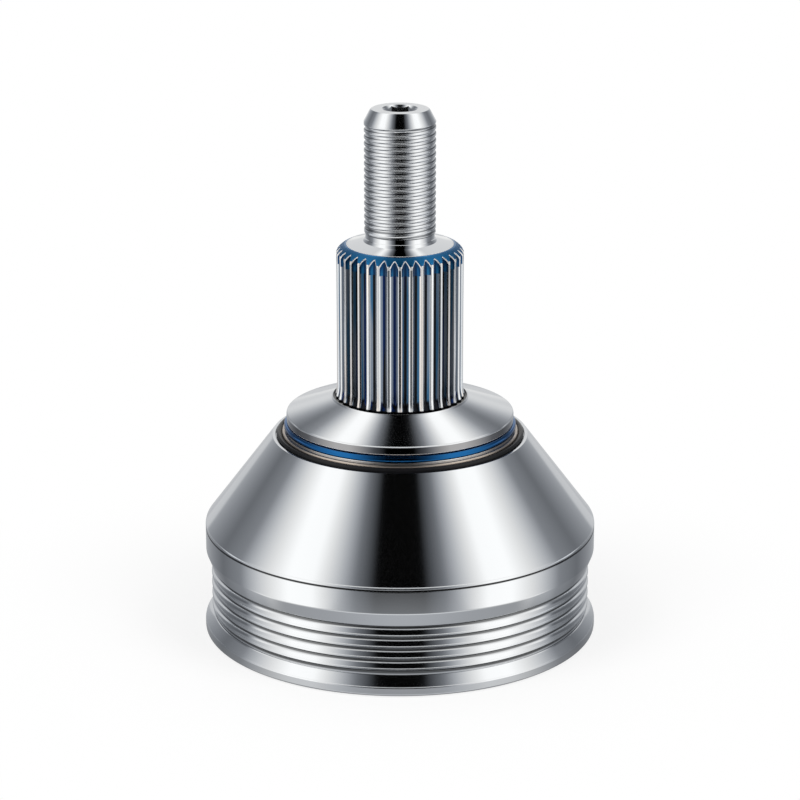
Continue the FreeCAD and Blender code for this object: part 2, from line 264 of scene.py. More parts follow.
# From the shoulder's edge to the ring where the stem's columns meet the stub's
SHOULDER_RING = 1.2
THREAD_BOTTOM = 92.70
THREAD_TOP = 117.95
THREAD_PITCH = 1.5
THREAD_DEPTH = 0.34
THREAD_FADE_BELOW = 2.2
THREAD_FADE_ABOVE = 1.0
# Rows of one turn: share of the pitch above the middle of the crest, and share of the depth
THREAD_ROWS = [(-0.10, 0.0), (0.10, 0.0), (0.15, 0.06), (0.19, 0.18), (0.31, 0.82), (0.35, 0.94),
               (0.40, 1.0), (0.60, 1.0), (0.65, 0.94), (0.69, 0.82), (0.81, 0.18), (0.85, 0.06)]
TAPER_STEP = 0.08
TAPER_RISE = 0.12
TAPER_FOOT_ROUND = 0.08
TAPER_TOP = 120.40
TAPER_ROUND = 0.35
TIP_RADIUS = 6.7
TIP_HEIGHT = 120.75
TIP_BEVEL = 0.35
TIP_ROUND = 0.3
KEY_SIDES = 6
KEY_FLATS = 6.5
KEY_DEPTH = 5.0
KEY_BEVEL_RADIUS = 4.0
KEY_BEVEL_SLOPE = 0.8
KEY_DRILL_DEPTH = 0.9

# Colours of the bare steel and its crests, of painted highlights on edges, and of painted shade in recesses,
# in grooves and on flanks
STEEL = (0.705, 0.725, 0.75)
COOL_CREST = (0.72, 0.74, 0.76)
# Painted highlight on the bare steel of the teeth's rims beside the coat and of the shoulder's edge
WARM_CREST = (0.78, 0.735, 0.70)
BARE_EDGE_PAINTED_HIGHLIGHT = (0.86, 0.85, 0.84)
SHADED_WALL = (0.29, 0.29, 0.30)
# Painted highlight: a light line at the foot of the collar's wall, above the blue ring's groove
WALL_FOOT_PAINTED_HIGHLIGHT = (0.86, 0.78, 0.71)
# Painted shade under the ribs, in the scored line and under the foot
RECESS_PAINTED_SHADE = (0.15, 0.155, 0.16)
# Painted shade on the spline's flanks, with a painted bluish reflection on some of them
FLANK_PAINTED_SHADE = (0.20, 0.24, 0.30)
FLANK_PAINTED_BLUE_REFLECTION = (0.045, 0.135, 0.25)
# Painted shade in the roots of the spline's grooves, their run-outs and the moat
ROOT_PAINTED_SHADE = (0.012, 0.013, 0.016)
NAVY_ROOT_PAINTED_SHADE = (0.006, 0.02, 0.09)
# Painted shade on the thread's flanks
THREAD_FLANK_PAINTED_SHADE = (0.25, 0.26, 0.275)
# Colours of the blue coat in the grooves, and on the lead-in, and the navy of its painted shade
NAVY_PAINTED_SHADE = (0.004, 0.028, 0.09)
BLUE = (0.008, 0.095, 0.25)
PALE_BLUE = (0.018, 0.17, 0.36)
LEAD_BLUE = (0.010, 0.13, 0.31)

# Zones of these colours. A pair of numbers is a range again, and a SPAN is where a zone is full.
# A DEPTH is below the crests of the spline, and an UNDERCUT a share of the ribs' pitch.
SPAN_SOFT = 0.05
FINE_SOFT = 0.01
NARROW_SOFT = 0.02
LINE_SOFT = 0.04
UNDERCUT_START = (0.54, 0.68)
UNDERCUT_END = (0.995, 0.98)
RIBS_SPAN = (NECK_BOTTOM + FINE_ROUND, RIBS_BOTTOM + RIB_COUNT * RIB_PITCH - NARROW_SOFT)
FOOT_SHADE = 0.7
FOOT_SHADE_HEIGHT = (0.35, 0.15)
FOOT_SHADE_RADIUS = (FOOT_RADIUS - 0.6, FOOT_RADIUS - 0.4)
OUTSIDE_RADIUS = (INSIDE_REACH, INSIDE_REACH + 0.1)
WALL_RADIUS_SPAN = (GROOVE_RADIUS, COLLAR_RADIUS + 0.1)
WALL_SPAN = (GROOVE_TOP, COLLAR_TOP - 0.5)
WALL_FOOT_SPAN = (GROOVE_TOP + 0.05, GROOVE_TOP + 0.36)
SPLINE_SPAN = (SPLINE_BOTTOM, SPLINE_TOP - 0.15)
STEM_DEPTH = (-0.12, -0.08)
FLANK_DEPTH = (0.16, 0.36)
ROOT_DEPTH = (0.72, 0.86)
RUNOUT_DEPTH = (0.30, 0.42)
RUNOUT_HEIGHT = (SPLINE_BOTTOM + 2.6, SPLINE_BOTTOM + 1.6)
MOAT_HEIGHT = (SPLINE_BOTTOM + 0.3, SPLINE_BOTTOM + 0.1)
MOAT_SPAN = (SPLINE_RADIUS - 1.0, LIP_RADIUS - 0.2)
THREAD_SPAN = (THREAD_BOTTOM, THREAD_TOP - 0.1)
THREAD_RADIUS_SPAN = (STUB_RADIUS - 1.0, STUB_RADIUS + 0.05)
THREAD_FLANK_SPAN = (STUB_RADIUS - THREAD_DEPTH + 0.09, STUB_RADIUS - 0.09)
SOCKET_RADIUS = (KEY_BEVEL_RADIUS + 0.1, KEY_BEVEL_RADIUS)
SOCKET_HEIGHT = (TIP_HEIGHT - KEY_DEPTH - 0.5, TIP_HEIGHT - KEY_DEPTH)
SHOULDER_EDGE_SPAN = (SHOULDER_RADIUS - 0.2, SHOULDER_RADIUS + 0.02)
SHOULDER_EDGE_HEIGHT = (SPLINE_TOP - 0.1, SPLINE_TOP)
# The coat lies on the lead-in, and in the grooves from COAT_RIM under the lead-in's surface. Painted
# shade darkens it over COAT_DARKER_START and clears again over COAT_DARKER_END.
COAT_BOTTOM = 86.1
COAT_RIM = 0.32
LEAD_PLAY = 0.08
LEAD_UNDER = (LEAD_PLAY + 0.01, LEAD_PLAY)
LEAD_RANGE = (LEAD_FOOT, LEAD_FOOT + 0.02)
COAT_FOOT = (COAT_BOTTOM - 0.01, COAT_BOTTOM + 0.01)
COAT_TOP = (SPLINE_TOP + 0.02, SPLINE_TOP)
COAT_INNER_RADIUS = (SHOULDER_RADIUS, SHOULDER_RADIUS + 0.02)
COAT_DEEP = (COAT_RIM, COAT_RIM + 0.03)
BARE_RIM_HIGHLIGHT_SPAN = (LEAD_PLAY + 0.01, COAT_RIM)
COAT_GROOVE_RADIUS = (SPLINE_RADIUS - 0.06, SPLINE_RADIUS - 0.12)
COAT_DARKER = 0.85
COAT_DARKER_START = (0.1, COAT_RIM)
COAT_DARKER_END = (COAT_RIM + 0.9, COAT_RIM + 0.3)
COAT_ROOT_SHARE = 0.9
COAT_METALLIC = 0.9
# Streaks along the teeth, and the ranges of the noise in which they change the colour
STREAK_SCALE = 420.0
STREAK_DETAIL = 1.0
STREAK_STRETCH = (1.0, 1.0, 0.06)
FLANK_STREAKS = (0.46, 0.56)
CREST_STREAKS = (0.52, 0.62)
ROOT_STREAKS = (0.40, 0.46)
PATCH_SCALE = 260.0
PATCH_RANGE = (0.35, 0.65)
# Turning marks, and the height of all bumps
MARK_SCALE = 4.0
MARK_DETAIL = 4.0
MARK_BUMP = 0.02
BUMP_HEIGHT = 0.02
# Roughness of plain steel, what the marks add, and what each zone adds
PLAIN_ROUGHNESS = 0.075
MARK_ROUGHNESS = 0.04
ZONE_ROUGHNESS = {"stem": 0.08, "flank_shade": 0.16, "coat": 0.05, "bare_and_highlit": 0.35, "thread": 0.09,
                  "socket": 0.08, "shoulder": -0.055, "wall_foot_highlight": 0.3}

# Looks of the other pieces by slot: two tones, roughness, metallic share, specular level and
# strength of the bumps
LOOKS = {
    "ring_steel": ((0.52, 0.46, 0.40), (0.46, 0.40, 0.35), 0.3, 1.0, 0.5, 0.01),
    "black_rubber": ((0.006, 0.006, 0.007), (0.010, 0.010, 0.011), 0.2, 0.0, 0.15, 0.01),
    "blue_rubber": ((0.010, 0.09, 0.27), (0.016, 0.12, 0.31), 0.13, 1.0, 0.5, 0.01),
    "cage_steel": ((0.20, 0.20, 0.21), (0.15, 0.15, 0.16), 0.32, 1.0, 0.5, 0.08),
    "race_steel": ((0.50, 0.50, 0.51), (0.42, 0.42, 0.43), 0.20, 1.0, 0.5, 0.08),
    "spring_steel": ((0.26, 0.25, 0.24), (0.18, 0.18, 0.18), 0.35, 1.0, 0.5, 0.08),
    "ball_steel": ((0.75, 0.75, 0.76), (0.70, 0.70, 0.71), 0.05, 1.0, 0.5, 0.08),
}
# Sizes of their patches and grain, and the least and the added share of the roughness
MOTTLE_SCALE = 180.0
GRAIN_SCALE = 2160.0
MOTTLE_LEAST = 0.7
MOTTLE_ADDED = 0.6


class Graph:
    """The nodes of a material or of the world, with short ways to add to them.

    A value is a number, a colour as a tuple, or the output of another node.
    """

    def __init__(self, owner):
        owner.use_nodes = True
        self.nodes = owner.node_tree.nodes
        self.links = owner.node_tree.links
        self.nodes.clear()

    def feed(self, socket, value):
        if isinstance(value, tuple):
            socket.default_value = (*value, 1) if len(socket.default_value) == 4 else value
        elif isinstance(value, (int, float)):
            socket.default_value = value
        else:
            self.links.new(value, socket)

    def add(self, kind, inputs):
        """A node with its inputs, named or numbered, filled in; returns the node."""
        node = self.nodes.new(kind)
        for name, value in inputs.items():
            self.feed(node.inputs[name], value)
        return node

    def math(self, operation, *values, clamp=False):
        node = self.nodes.new("ShaderNodeMath")
        node.operation = operation
        node.use_clamp = clamp
        for socket, value in zip(node.inputs, values):
            self.feed(socket, value)
        return node.outputs[0]

    def both(self, *shares):
        """The product of shares."""
        product = shares[0]
        for share in shares[1:]:
            product = self.math("MULTIPLY", product, share)
        return product

    def length(self, *values):
        total = 0.0
        for value in values:
            total = self.math("ADD", self.math("MULTIPLY", value, value), total)
        return self.math("SQRT", total)

    def step(self, value, start, end, low=0.0, high=1.0, smooth=True):
        """Goes from low at start to high at end; start may be the larger."""
        node = self.add("ShaderNodeMapRange", {"Value": value, "From Min": start, "From Max": end,
                                               "To Min": low, "To Max": high})
        node.interpolation_type = "SMOOTHSTEP" if smooth else "LINEAR"
        return node.outputs["Result"]

    def span(self, value, low, high, soft=SPAN_SOFT):
        """1 between low and high, fading over a soft edge outside."""
        return self.both(self.step(value, low - soft, low), self.step(value, high + soft, high))

    def blend(self, share, first, second):
        """A number that goes from the first to the second as the share goes from 0 to 1."""
        return self.add("ShaderNodeMix", {"Factor": share, "A": first, "B": second}).outputs["Result"]

    def colour(self, share, first, second):
        """A colour that goes from the first to the second as the share goes from 0 to 1."""
        node = self.nodes.new("ShaderNodeMix")
        node.data_type = "RGBA"
        node.clamp_factor = True
        for name, value in (("Factor", share), ("A", first), ("B", second)):
            self.feed(node.inputs[name], value)
        return node.outputs["Result"]

    def noise(self, vector, scale, detail=2.0):
        node = self.add("ShaderNodeTexNoise", {"Vector": vector, "Scale": scale, "Detail": detail})
        return node.outputs["Fac"]

    def bump(self, height, strength):
        inputs = {"Strength": strength, "Distance": BUMP_HEIGHT * MM, "Height": height}
        return self.add("ShaderNodeBump", inputs).outputs["Normal"]

    def object_place(self):
        return self.nodes.new("ShaderNodeTexCoord").outputs["Object"]

    def split(self, vector):
        return self.add("ShaderNodeSeparateXYZ", {0: vector}).outputs

    def shader_mix(self, share, first, second):
        return self.add("ShaderNodeMixShader", {0: share, 1: first, 2: second}).outputs[0]

    def light(self, kind, strength):
        return self.add(kind, {"Color": (1.0, 1.0, 1.0), "Strength": strength}).outputs[0]

    def surface(self, shader, kind="ShaderNodeOutputMaterial"):
        self.links.new(shader, self.nodes.new(kind).inputs["Surface"])


def half_turns(*angles):
    """Angles in degrees as shares of half a turn."""
    return [angle / 180 for angle in angles]


def make_camera():
    camera = bpy.data.objects.new("camera", bpy.data.cameras.new("camera"))
    bpy.context.scene.collection.objects.link(camera)
    camera.location = (0, -CAMERA_DISTANCE * MM, CAMERA_HEIGHT * MM)
    camera.rotation_euler = (math.radians(90 - CAMERA_PITCH), 0, 0)
    camera.data.sensor_width = SENSOR_WIDTH
    camera.data.lens = FOCAL_LENGTH
    camera.data.clip_start = CAMERA_NEAR * MM
    camera.data.clip_end = CAMERA_FAR * MM
    bpy.context.scene.camera = camera


def fan_level(graph, bearing):
    """Brightness of the fan at a bearing, which is given as a share of half a turn."""
    peak = max(level for angle, level in FAN_STOPS)
    node = graph.add("ShaderNodeValToRGB", {"Fac": bearing})
    elements = node.color_ramp.elements
    for number, (angle, level) in enumerate(FAN_STOPS):
        position = half_turns(angle)[0]
        element = elements[number] if number < 2 else elements.new(position)
        element.position = position
        element.color = (*(level / peak,) * 3, 1)
    return graph.math("MULTIPLY", node.outputs["Color"], peak)


def studio_level(graph):
    """Brightness of the studio in each direction, as polished metal shows it."""
    side, back, up = graph.split(graph.nodes.new("ShaderNodeTexCoord").outputs["Generated"])
    side = graph.math("ABSOLUTE", side)
    before_centre = graph.math("SUBTRACT", FAN_CENTRE, back)
    bearing = graph.math("DIVIDE", graph.math("ARCTAN2", side, before_centre), math.pi)
    level = fan_level(graph, bearing)

    from_centre = graph.length(side, before_centre)
    near_centre = graph.both(graph.step(from_centre, *FAN_CENTRE_REACH), graph.step(up, *FAN_CENTRE_UP))
    level = graph.blend(near_centre, level, FAN_CENTRE_LEVEL)
    backdrop = graph.both(graph.step(back, *BACKDROP_BACK),
                          graph.step(side, *BACKDROP_SIDE),
                          graph.step(bearing, *half_turns(*BACKDROP_BEARING)),
                          graph.step(up, *BACKDROP_UP))
    level = graph.blend(backdrop, level, BACKDROP_LEVEL)

    strip = graph.both(graph.span(up, *STRIP_UP_SPAN, STRIP_SOFT), graph.step(back, *STRIP_BACK))
    ahead = half_turns(*STRIP_AHEAD_BEARING)
    strip_level = graph.step(bearing, *ahead, STRIP_LEVEL_AHEAD, STRIP_LEVEL)
    aside = graph.span(bearing, *half_turns(*STRIP_ASIDE_SPAN, STRIP_ASIDE_SOFT))
    strip_level = graph.blend(aside, strip_level, STRIP_LEVEL_ASIDE)
    level = graph.blend(strip, level, strip_level)
    far_strip = graph.both(graph.span(up, *FAR_STRIP_UP_SPAN, STRIP_SOFT), graph.step(back, *FAR_STRIP_BACK))
    level = graph.blend(far_strip, level, FAR_STRIP_LEVEL)

    level = graph.blend(graph.step(up, *FLOOR_GLOSS_UP), level, FLOOR_GLOSS)
    floor_strip = graph.both(graph.span(up, *FLOOR_STRIP_UP_SPAN, FLOOR_STRIP_SOFT),
                             graph.step(back, *FLOOR_STRIP_BACK))
    return graph.blend(floor_strip, level, FLOOR_STRIP_LEVEL)


def make_world():
    """White for the camera, the studio for gloss, and an even fill for matt surfaces."""
    world = bpy.data.worlds.new("studio")
    bpy.context.scene.world = world
    graph = Graph(world)
    rays = graph.nodes.new("ShaderNodeLightPath").outputs
    seen = graph.light("ShaderNodeBackground", WORLD_FILL)
    level = studio_level(graph)
    tone = graph.colour(level, CARD_TONE, LIGHT_TONE)
    studio = graph.add("ShaderNodeBackground", {"Color": tone, "Strength": level})
    seen = graph.shader_mix(rays["Is Glossy Ray"], seen, studio.outputs[0])
    seen = graph.shader_mix(rays["Is Camera Ray"], seen, graph.light("ShaderNodeBackground", 1.0))
    graph.surface(seen, "ShaderNodeOutputWorld")


def make_stage_plane(name, size, drop):
    """A level square of the stage with its own material; returns the object and the graph."""
    bpy.ops.mesh.primitive_plane_add(size=size * MM, location=(0, 0, -drop * MM))
    plane = bpy.context.object
    plane.name = name
    material = bpy.data.materials.new(name)
    plane.data.materials.append(material)
    return plane, Graph(material)


def make_floor():
    """Paper that keeps the joint's soft shadow and fades to pure white; it is clear from below."""
    floor, graph = make_stage_plane("floor", FLOOR_SIZE, FLOOR_DROP)
    floor.visible_glossy = False
    place = graph.object_place()
    tone = graph.colour(graph.noise(place, PAPER_GRAIN), *PAPER_TONES)
    paper = graph.add("ShaderNodeBsdfPrincipled", {"Base Color": tone, "Roughness": PAPER_ROUGHNESS})
    distance = graph.length(*graph.split(place)[:2])
    white_share = graph.step(distance, SHADOW_NEAR * MM, SHADOW_FAR * MM, low=WHITE_SHARE_NEAR)
    camera_ray = graph.nodes.new("ShaderNodeLightPath").outputs["Is Camera Ray"]
    share = graph.both(white_share, camera_ray)
    seen = graph.shader_mix(share, paper.outputs[0], graph.light("ShaderNodeEmission", 1.0))
    from_below = graph.nodes.new("ShaderNodeNewGeometry").outputs["Backfacing"]
    clear = graph.nodes.new("ShaderNodeBsdfTransparent").outputs[0]
    graph.surface(graph.shader_mix(from_below, seen, clear))


def make_floor_cards():
    """The cards that lie on the floor round the joint; only gloss shows them."""
    cards, graph = make_stage_plane("floor_cards", CARDS_SIZE, CARDS_DROP)
    cards.visible_camera = False
    cards.visible_diffuse = False
    cards.visible_transmission = False
    cards.visible_shadow = False
    across, along = graph.split(graph.object_place())[:2]
    side = graph.math("ABSOLUTE", across)
    reach = graph.math("ABSOLUTE", along)

    from_card = graph.math("SUBTRACT", reach, CARD_PLACE * MM)
    level = graph.step(graph.length(across, from_card), CARD_REACH * MM, 0.0, CARD_DIM, CARD_BRIGHT)
    from_joint = graph.length(across, along)
    share = graph.both(graph.step(from_joint, CARD_FAR * MM, CARD_NEAR * MM, high=CARD_COVERS),
                       graph.step(side, CARD_SIDE_END * MM, CARD_SIDE * MM))
    inner, outer = SIDE_CARD_SPAN
    side_end = (SIDE_CARD_REACH + SIDE_CARD_FADE) * MM
    on_side = graph.both(graph.span(side, inner * MM, outer * MM, SIDE_CARD_FADE * MM),
                         graph.step(reach, side_end, SIDE_CARD_REACH * MM))
    level = graph.blend(on_side, level, SIDE_CARD_LEVEL)
    share = graph.math("MAXIMUM", share, graph.both(on_side, SIDE_CARD_COVERS))

    clear = graph.nodes.new("ShaderNodeBsdfTransparent").outputs[0]
    card = graph.add("ShaderNodeEmission", {"Color": FLOOR_CARD_TONE, "Strength": level})
    graph.surface(graph.shader_mix(share, clear, card.outputs[0]))


def make_lamp(name, side):
    """A round lamp in front of the joint, on the left where the side is -1 and on the right at 1."""
    lamp = bpy.data.lights.new(name, "AREA")
    lamp.shape = "DISK"
    lamp.size = LAMP_SIZE * MM
    lamp.energy = LAMP_POWER
    holder = bpy.data.objects.new(name, lamp)
    bpy.context.scene.collection.objects.link(holder)
    place = Vector((side * LAMP_SIDE, -LAMP_FRONT, LAMP_HEIGHT)) * MM
    holder.location = place
    aim = Vector((0, 0, LAMP_AIM * MM)) - place
    holder.rotation_euler = aim.to_track_quat("-Z", "Y").to_euler()
    holder.visible_glossy = False


def cone_height(radius):
    """Height of the bell's cone at a radius."""
    return CONE_CENTRE + (CONE_REACH - radius * math.sin(CONE_SLOPE)) / math.cos(CONE_SLOPE)


def lead_centre():
    """Centre of the rounded lead-in of the spline, as (radius, height)."""
    span = math.hypot(LEAD_DEPTH, LEAD_HEIGHT)
    reach = math.sqrt(LEAD_ROUND ** 2 - (span / 2) ** 2) / span
    return (SPLINE_RADIUS - LEAD_DEPTH / 2 - LEAD_HEIGHT * reach,
            SPLINE_TOP - LEAD_HEIGHT / 2 - LEAD_DEPTH * reach)


def lead_in_height(radius):
    """Height of the rounded lead-in of the spline at a radius."""
    centre = lead_centre()
    return centre[1] + math.sqrt(LEAD_ROUND ** 2 - (radius - centre[0]) ** 2)


def towards(start, end, distance):
    """The point at a distance from start on the way to end."""
    share = distance / math.dist(start, end)
    return (start[0] + (end[0] - start[0]) * share, start[1] + (end[1] - start[1]) * share)


def pulled(first, corner, last, share):
    """The point at a share of the curve from first to last that a corner pulls to itself."""
    weights = ((1 - share) ** 2, 2 * share * (1 - share), share ** 2)
    return tuple(sum(weight * point[axis] for weight, point in zip(weights, (first, corner, last)))
                 for axis in (0, 1))


def rounded(corners):
    """An outline from (radius, height, round) corners. A round of 0 keeps the point as it is."""
    points = [corners[0][:2]]
    for before, corner, after in zip(corners, corners[1:], corners[2:]):
        place, size = corner[:2], corner[2]
        if not size:
            points.append(place)
            continue
        tangents = []
        holds = []
        for other in (before[:2], after[:2]):
            room = math.dist(place, other)
            tangents.append(towards(place, other, min(size, room * ROUND_SHARE)))
            holds.append(towards(place, other, min(size + EDGE_HOLD, room * HOLD_SHARE)))
        points.append(holds[0])
        for step in range(ROUND_STEPS + 1):
            points.append(pulled(tangents[0], place, tangents[1], step / ROUND_STEPS))
        points.append(holds[1])
    points.append(corners[-1][:2])
    return points


def arc(start, end, sag):
    """Corners strictly between start and end on a curve that sags to the left of the way."""
    run = (end[0] - start[0], end[1] - start[1])
    length = math.hypot(*run)
    corners = []
    for step in range(1, ARC_STEPS):
        share = step / ARC_STEPS
        dip = 4 * share * (1 - share) * sag / length
        radius = start[0] + run[0] * share - run[1] * dip
        height = start[1] + run[1] * share + run[0] * dip
        corners.append((radius, height, 0))
    return corners


class Shell:
    """Rings of points round the Z axis, joined into a surface."""

    def __init__(self):
        self.points = []
        self.faces = []

    def ring(self, places):
        """Adds a ring from (radius, angle, height) places; returns the numbers of its points."""
        first = len(self.points)
        for radius, angle, height in places:
            self.points.append((radius * math.cos(angle) * MM, radius * math.sin(angle) * MM, height * MM))
        return list(range(first, len(self.points)))

    def even_ring(self, radius, height, columns):
        return self.ring([(radius, FULL_TURN * column / columns, height) for column in range(columns)])

    def join(self, lower, upper):
        """Faces between two rings of the same number of points, turned outwards."""
        count = len(lower)
        for column in range(count):
            following = (column + 1) % count
            self.faces.append((lower[column], lower[following], upper[following], upper[column]))

    def grow(self, lower, places):
        """Adds a ring and joins it to the one before; returns the new ring."""
        upper = self.ring(places)
        self.join(lower, upper)
        return upper

    def join_three_to_one(self, lower, upper):
        """Faces from a ring to one with a third of its points."""
        for column in range(len(upper)):
            following = (column + 1) % len(upper)
            near, middle, far = (3 * column + step for step in (0, 1, 2))
            last = (3 * column + 3) % len(lower)
            self.faces.append((lower[near], lower[middle], upper[column]))
            self.faces.append((lower[middle], lower[far], upper[following], upper[column]))
            self.faces.append((lower[far], lower[last], upper[following]))

    def turned(self, outline, columns, lower=None):
        """Joins a whole outline on, ring by ring; returns its last ring."""
        for radius, height in outline:
            ring = self.even_ring(radius, height, columns)
            if lower:
                self.join(lower, ring)
            lower = ring
        return lower

    def close(self, ring, height):
        """Closes a ring with a fan to a point on the axis."""
        self.points.append((0, 0, height * MM))
        for column in range(len(ring)):
            self.faces.append((ring[column], ring[(column + 1) % len(ring)], len(self.points) - 1))


def facet(radius, top, height):
    """The corners of a narrow face that leans back at the top of an upright wall."""
    return [(radius, top - height, FACET_ROUND), (radius - height * FACET_LEAN, top, FACET_ROUND)]


def foot_corners():
    """The bell's foot, the hollow flare above it and the neck below the ribs."""
    corners = [(FOOT_RADIUS - FOOT_INSET, 0, 0), (FOOT_RADIUS, 0, FOOT_ROUND)]
    corners += facet(FOOT_RADIUS, FOOT_HEIGHT, FOOT_FACET)
    corners += arc(corners[-1], FLARE_TOP, FLARE_SAG)
    corners += [
        (*FLARE_TOP, SOFT_ROUND),
        (*FLARE_LIP, FINE_ROUND),
        (NECK_RADIUS, NECK_BOTTOM, FINE_ROUND),
        (NECK_RADIUS, NECK_TOP, SOFT_ROUND),
    ]
    return corners


def rib_corners():
    """The ribs that hold the boot: upright crests with hollow flanks between them."""
    corners = [(CREST_RADIUS, RIBS_BOTTOM, SOFT_ROUND)]
    for rib in range(RIB_COUNT):
        base = RIBS_BOTTOM + rib * RIB_PITCH
        deepest = (CREST_RADIUS - RIB_DEPTH, base + RIB_PITCH - RIB_UNDERCUT)
        corners += facet(CREST_RADIUS, base + RIB_CREST, RIB_FACET)
        corners += arc(corners[-1], deepest, RIB_SAG)
        corners += [(*deepest, SOFT_ROUND), (CREST_RADIUS, base + RIB_PITCH, SOFT_ROUND)]
    return corners


def band_corners():
    """The band with its scored line, the cone and the seat of the rings in its top."""
    band_top = cone_height(BAND_RADIUS)
    line = band_top - LINE_DROP
    cone_top = cone_height(CONE_TOP_RADIUS)
    return [
        (BAND_RADIUS, BAND_BOTTOM, BAND_ROUND),
        (BAND_RADIUS, line - LINE_WIDTH / 2, FINE_ROUND),
        (BAND_RADIUS - LINE_DEPTH, line, FINE_ROUND),
        (BAND_RADIUS, line + LINE_WIDTH / 2, FINE_ROUND),
        *facet(BAND_RADIUS, band_top, BAND_FACET),
        (CONE_TOP_RADIUS, cone_top, CONE_TOP_ROUND),
        (RING_SEAT_RADIUS + RIM_LEAN, cone_top, RIM_ROUND),
        (RING_SEAT_RADIUS, RING_SEAT, FINE_ROUND),
    ]


def collar_corners():
    """The collar with the blue ring's groove, its sloped top, and the lip and moat round the stem."""
    rise = (SPLINE_BOTTOM - COLLAR_TOP) / (COLLAR_RADIUS - SPLINE_RADIUS)
    lip_foot = SPLINE_BOTTOM - (LIP_RADIUS - SPLINE_RADIUS) * rise
    lip_top = lip_foot + LIP_HEIGHT
    moat_floor = SPLINE_BOTTOM - MOAT_DEPTH
    return [
        (COLLAR_RADIUS, RING_SEAT, FINE_ROUND),
        (COLLAR_RADIUS, GROOVE_BOTTOM, FINE_ROUND),
        (GROOVE_RADIUS, GROOVE_BOTTOM, FINE_ROUND),
        (GROOVE_RADIUS, GROOVE_TOP, FINE_ROUND),
        (COLLAR_RADIUS, GROOVE_TOP + GROOVE_CHAMFER, GROOVE_ROUND),
        *facet(COLLAR_RADIUS, COLLAR_TOP - COLLAR_EDGE_DROP, COLLAR_FACET),
        (LIP_RADIUS, lip_foot, FACET_ROUND),
        (LIP_RADIUS - LIP_LEAN, lip_top, SOFT_ROUND),
        (LIP_RADIUS - LIP_WIDTH, lip_top, LIP_ROUND),
        (MOAT_OUTER_RADIUS, moat_floor, SOFT_ROUND),
        (MOAT_INNER_RADIUS, moat_floor, 0),
    ]


def add_inside(mesh):
    """Adds the chamber with its ball tracks from the CAD node, and the flat mouth round it."""
    source = NODES["outer_race"]
    to_row = source.matrix_world
    points = [to_row @ vertex.co / MM for vertex in source.data.vertices]
    fresh = {}
    for polygon in source.data.polygons:
        places = [points[number] for number in polygon.vertices]
        middle = sum(places, Vector()) / len(places)
        radius = math.hypot(middle.x, middle.y)
        reach = radius * math.sin(CONE_SLOPE) + (middle.z - CONE_CENTRE) * math.cos(CONE_SLOPE)
        in_mouth = max(abs(place.z) for place in places) < MOUTH_PLAY
        if radius > INSIDE_REACH or reach > INSIDE_REACH or middle.z > INSIDE_TOP or in_mouth:
            continue
        for number in polygon.vertices:
            if number not in fresh:
                fresh[number] = mesh.verts.new(points[number] * MM)
        mesh.faces.new([fresh[number] for number in polygon.vertices])
    bmesh.ops.remove_doubles(mesh, verts=mesh.verts, dist=MERGE_DISTANCE * MM)
    rim = [edge for edge in mesh.edges
           if edge.is_boundary and max(abs(vertex.co.z) for vertex in edge.verts) < MOUTH_PLAY * MM]
    bmesh.ops.triangle_fill(mesh, use_beauty=True, use_dissolve=False, edges=rim, normal=(0, 0, -1))


def smooth(data):
    """Smooth shading, with sharp edges only where faces meet at a steep angle."""
    data.shade_smooth()
    data.set_sharp_from_angle(angle=math.radians(SHARP_ANGLE))


def finished(name, mesh):
    """A smooth-shaded object from a bmesh."""
    data = bpy.data.meshes.new(name)
    mesh.to_mesh(data)
    mesh.free()
    smooth(data)
    made = bpy.data.objects.new(name, data)
    bpy.context.scene.collection.objects.link(made)
    return made


def shell_mesh(shell):
    """A bmesh of a shell, with its coinciding points merged."""
    data = bpy.data.meshes.new("shell")
    data.from_pydata(shell.points, [], shell.faces)
    mesh = bmesh.new()
    mesh.from_mesh(data)
    bpy.data.meshes.remove(data)
    bmesh.ops.remove_doubles(mesh, verts=mesh.verts, dist=MERGE_DISTANCE * MM)
    bmesh.ops.dissolve_degenerate(mesh, edges=mesh.edges, dist=MERGE_DISTANCE * MM)
    return mesh


def make_bell():
    """Bell and collar with rounded edges outside and the CAD node's chamber inside."""
    shell = Shell()
    outline = rounded(foot_corners() + rib_corners() + band_corners() + collar_corners())
    last = shell.turned(outline, BELL_COLUMNS)
    shell.close(last, outline[-1][1])
    mesh = shell_mesh(shell)
    add_inside(mesh)
    bell = finished("outer_race_bell", mesh)
    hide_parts("outer_race")
    return bell


def tooth_places():
    """Angle and depth share of every column round the spline."""
    pitch = FULL_TURN / TEETH
    return [((tooth + share) * pitch, depth) for tooth in range(TEETH) for share, depth in TOOTH_COLUMNS]


def tooth_radius(depth, height):
    """Radius at a share of the teeth's depth. The grooves run out at the foot, which also flares."""
    above = max(height - SPLINE_BOTTOM, 0)
    radius = SPLINE_RADIUS - depth * TOOTH_DEPTH
    if above < RUNOUT_LENGTH and depth * TOOTH_DEPTH > RUNOUT_LEFT:
        swept = ROOT_RADIUS + RUNOUT_RADIUS - math.sqrt(RUNOUT_RADIUS ** 2 - (RUNOUT_LENGTH - above) ** 2)
        radius = max(radius, min(swept, SPLINE_RADIUS - RUNOUT_LEFT))
    return radius + max(1 - above / BASE_FLARE_HEIGHT, 0) ** 2 * BASE_FLARE


def on_lead_in(places, drop=0.0):
    """A ring's places from (radius, angle) ones, on the lead-in or at a drop below it."""
    return [(radius, angle, lead_in_height(radius) - drop) for radius, angle in places]


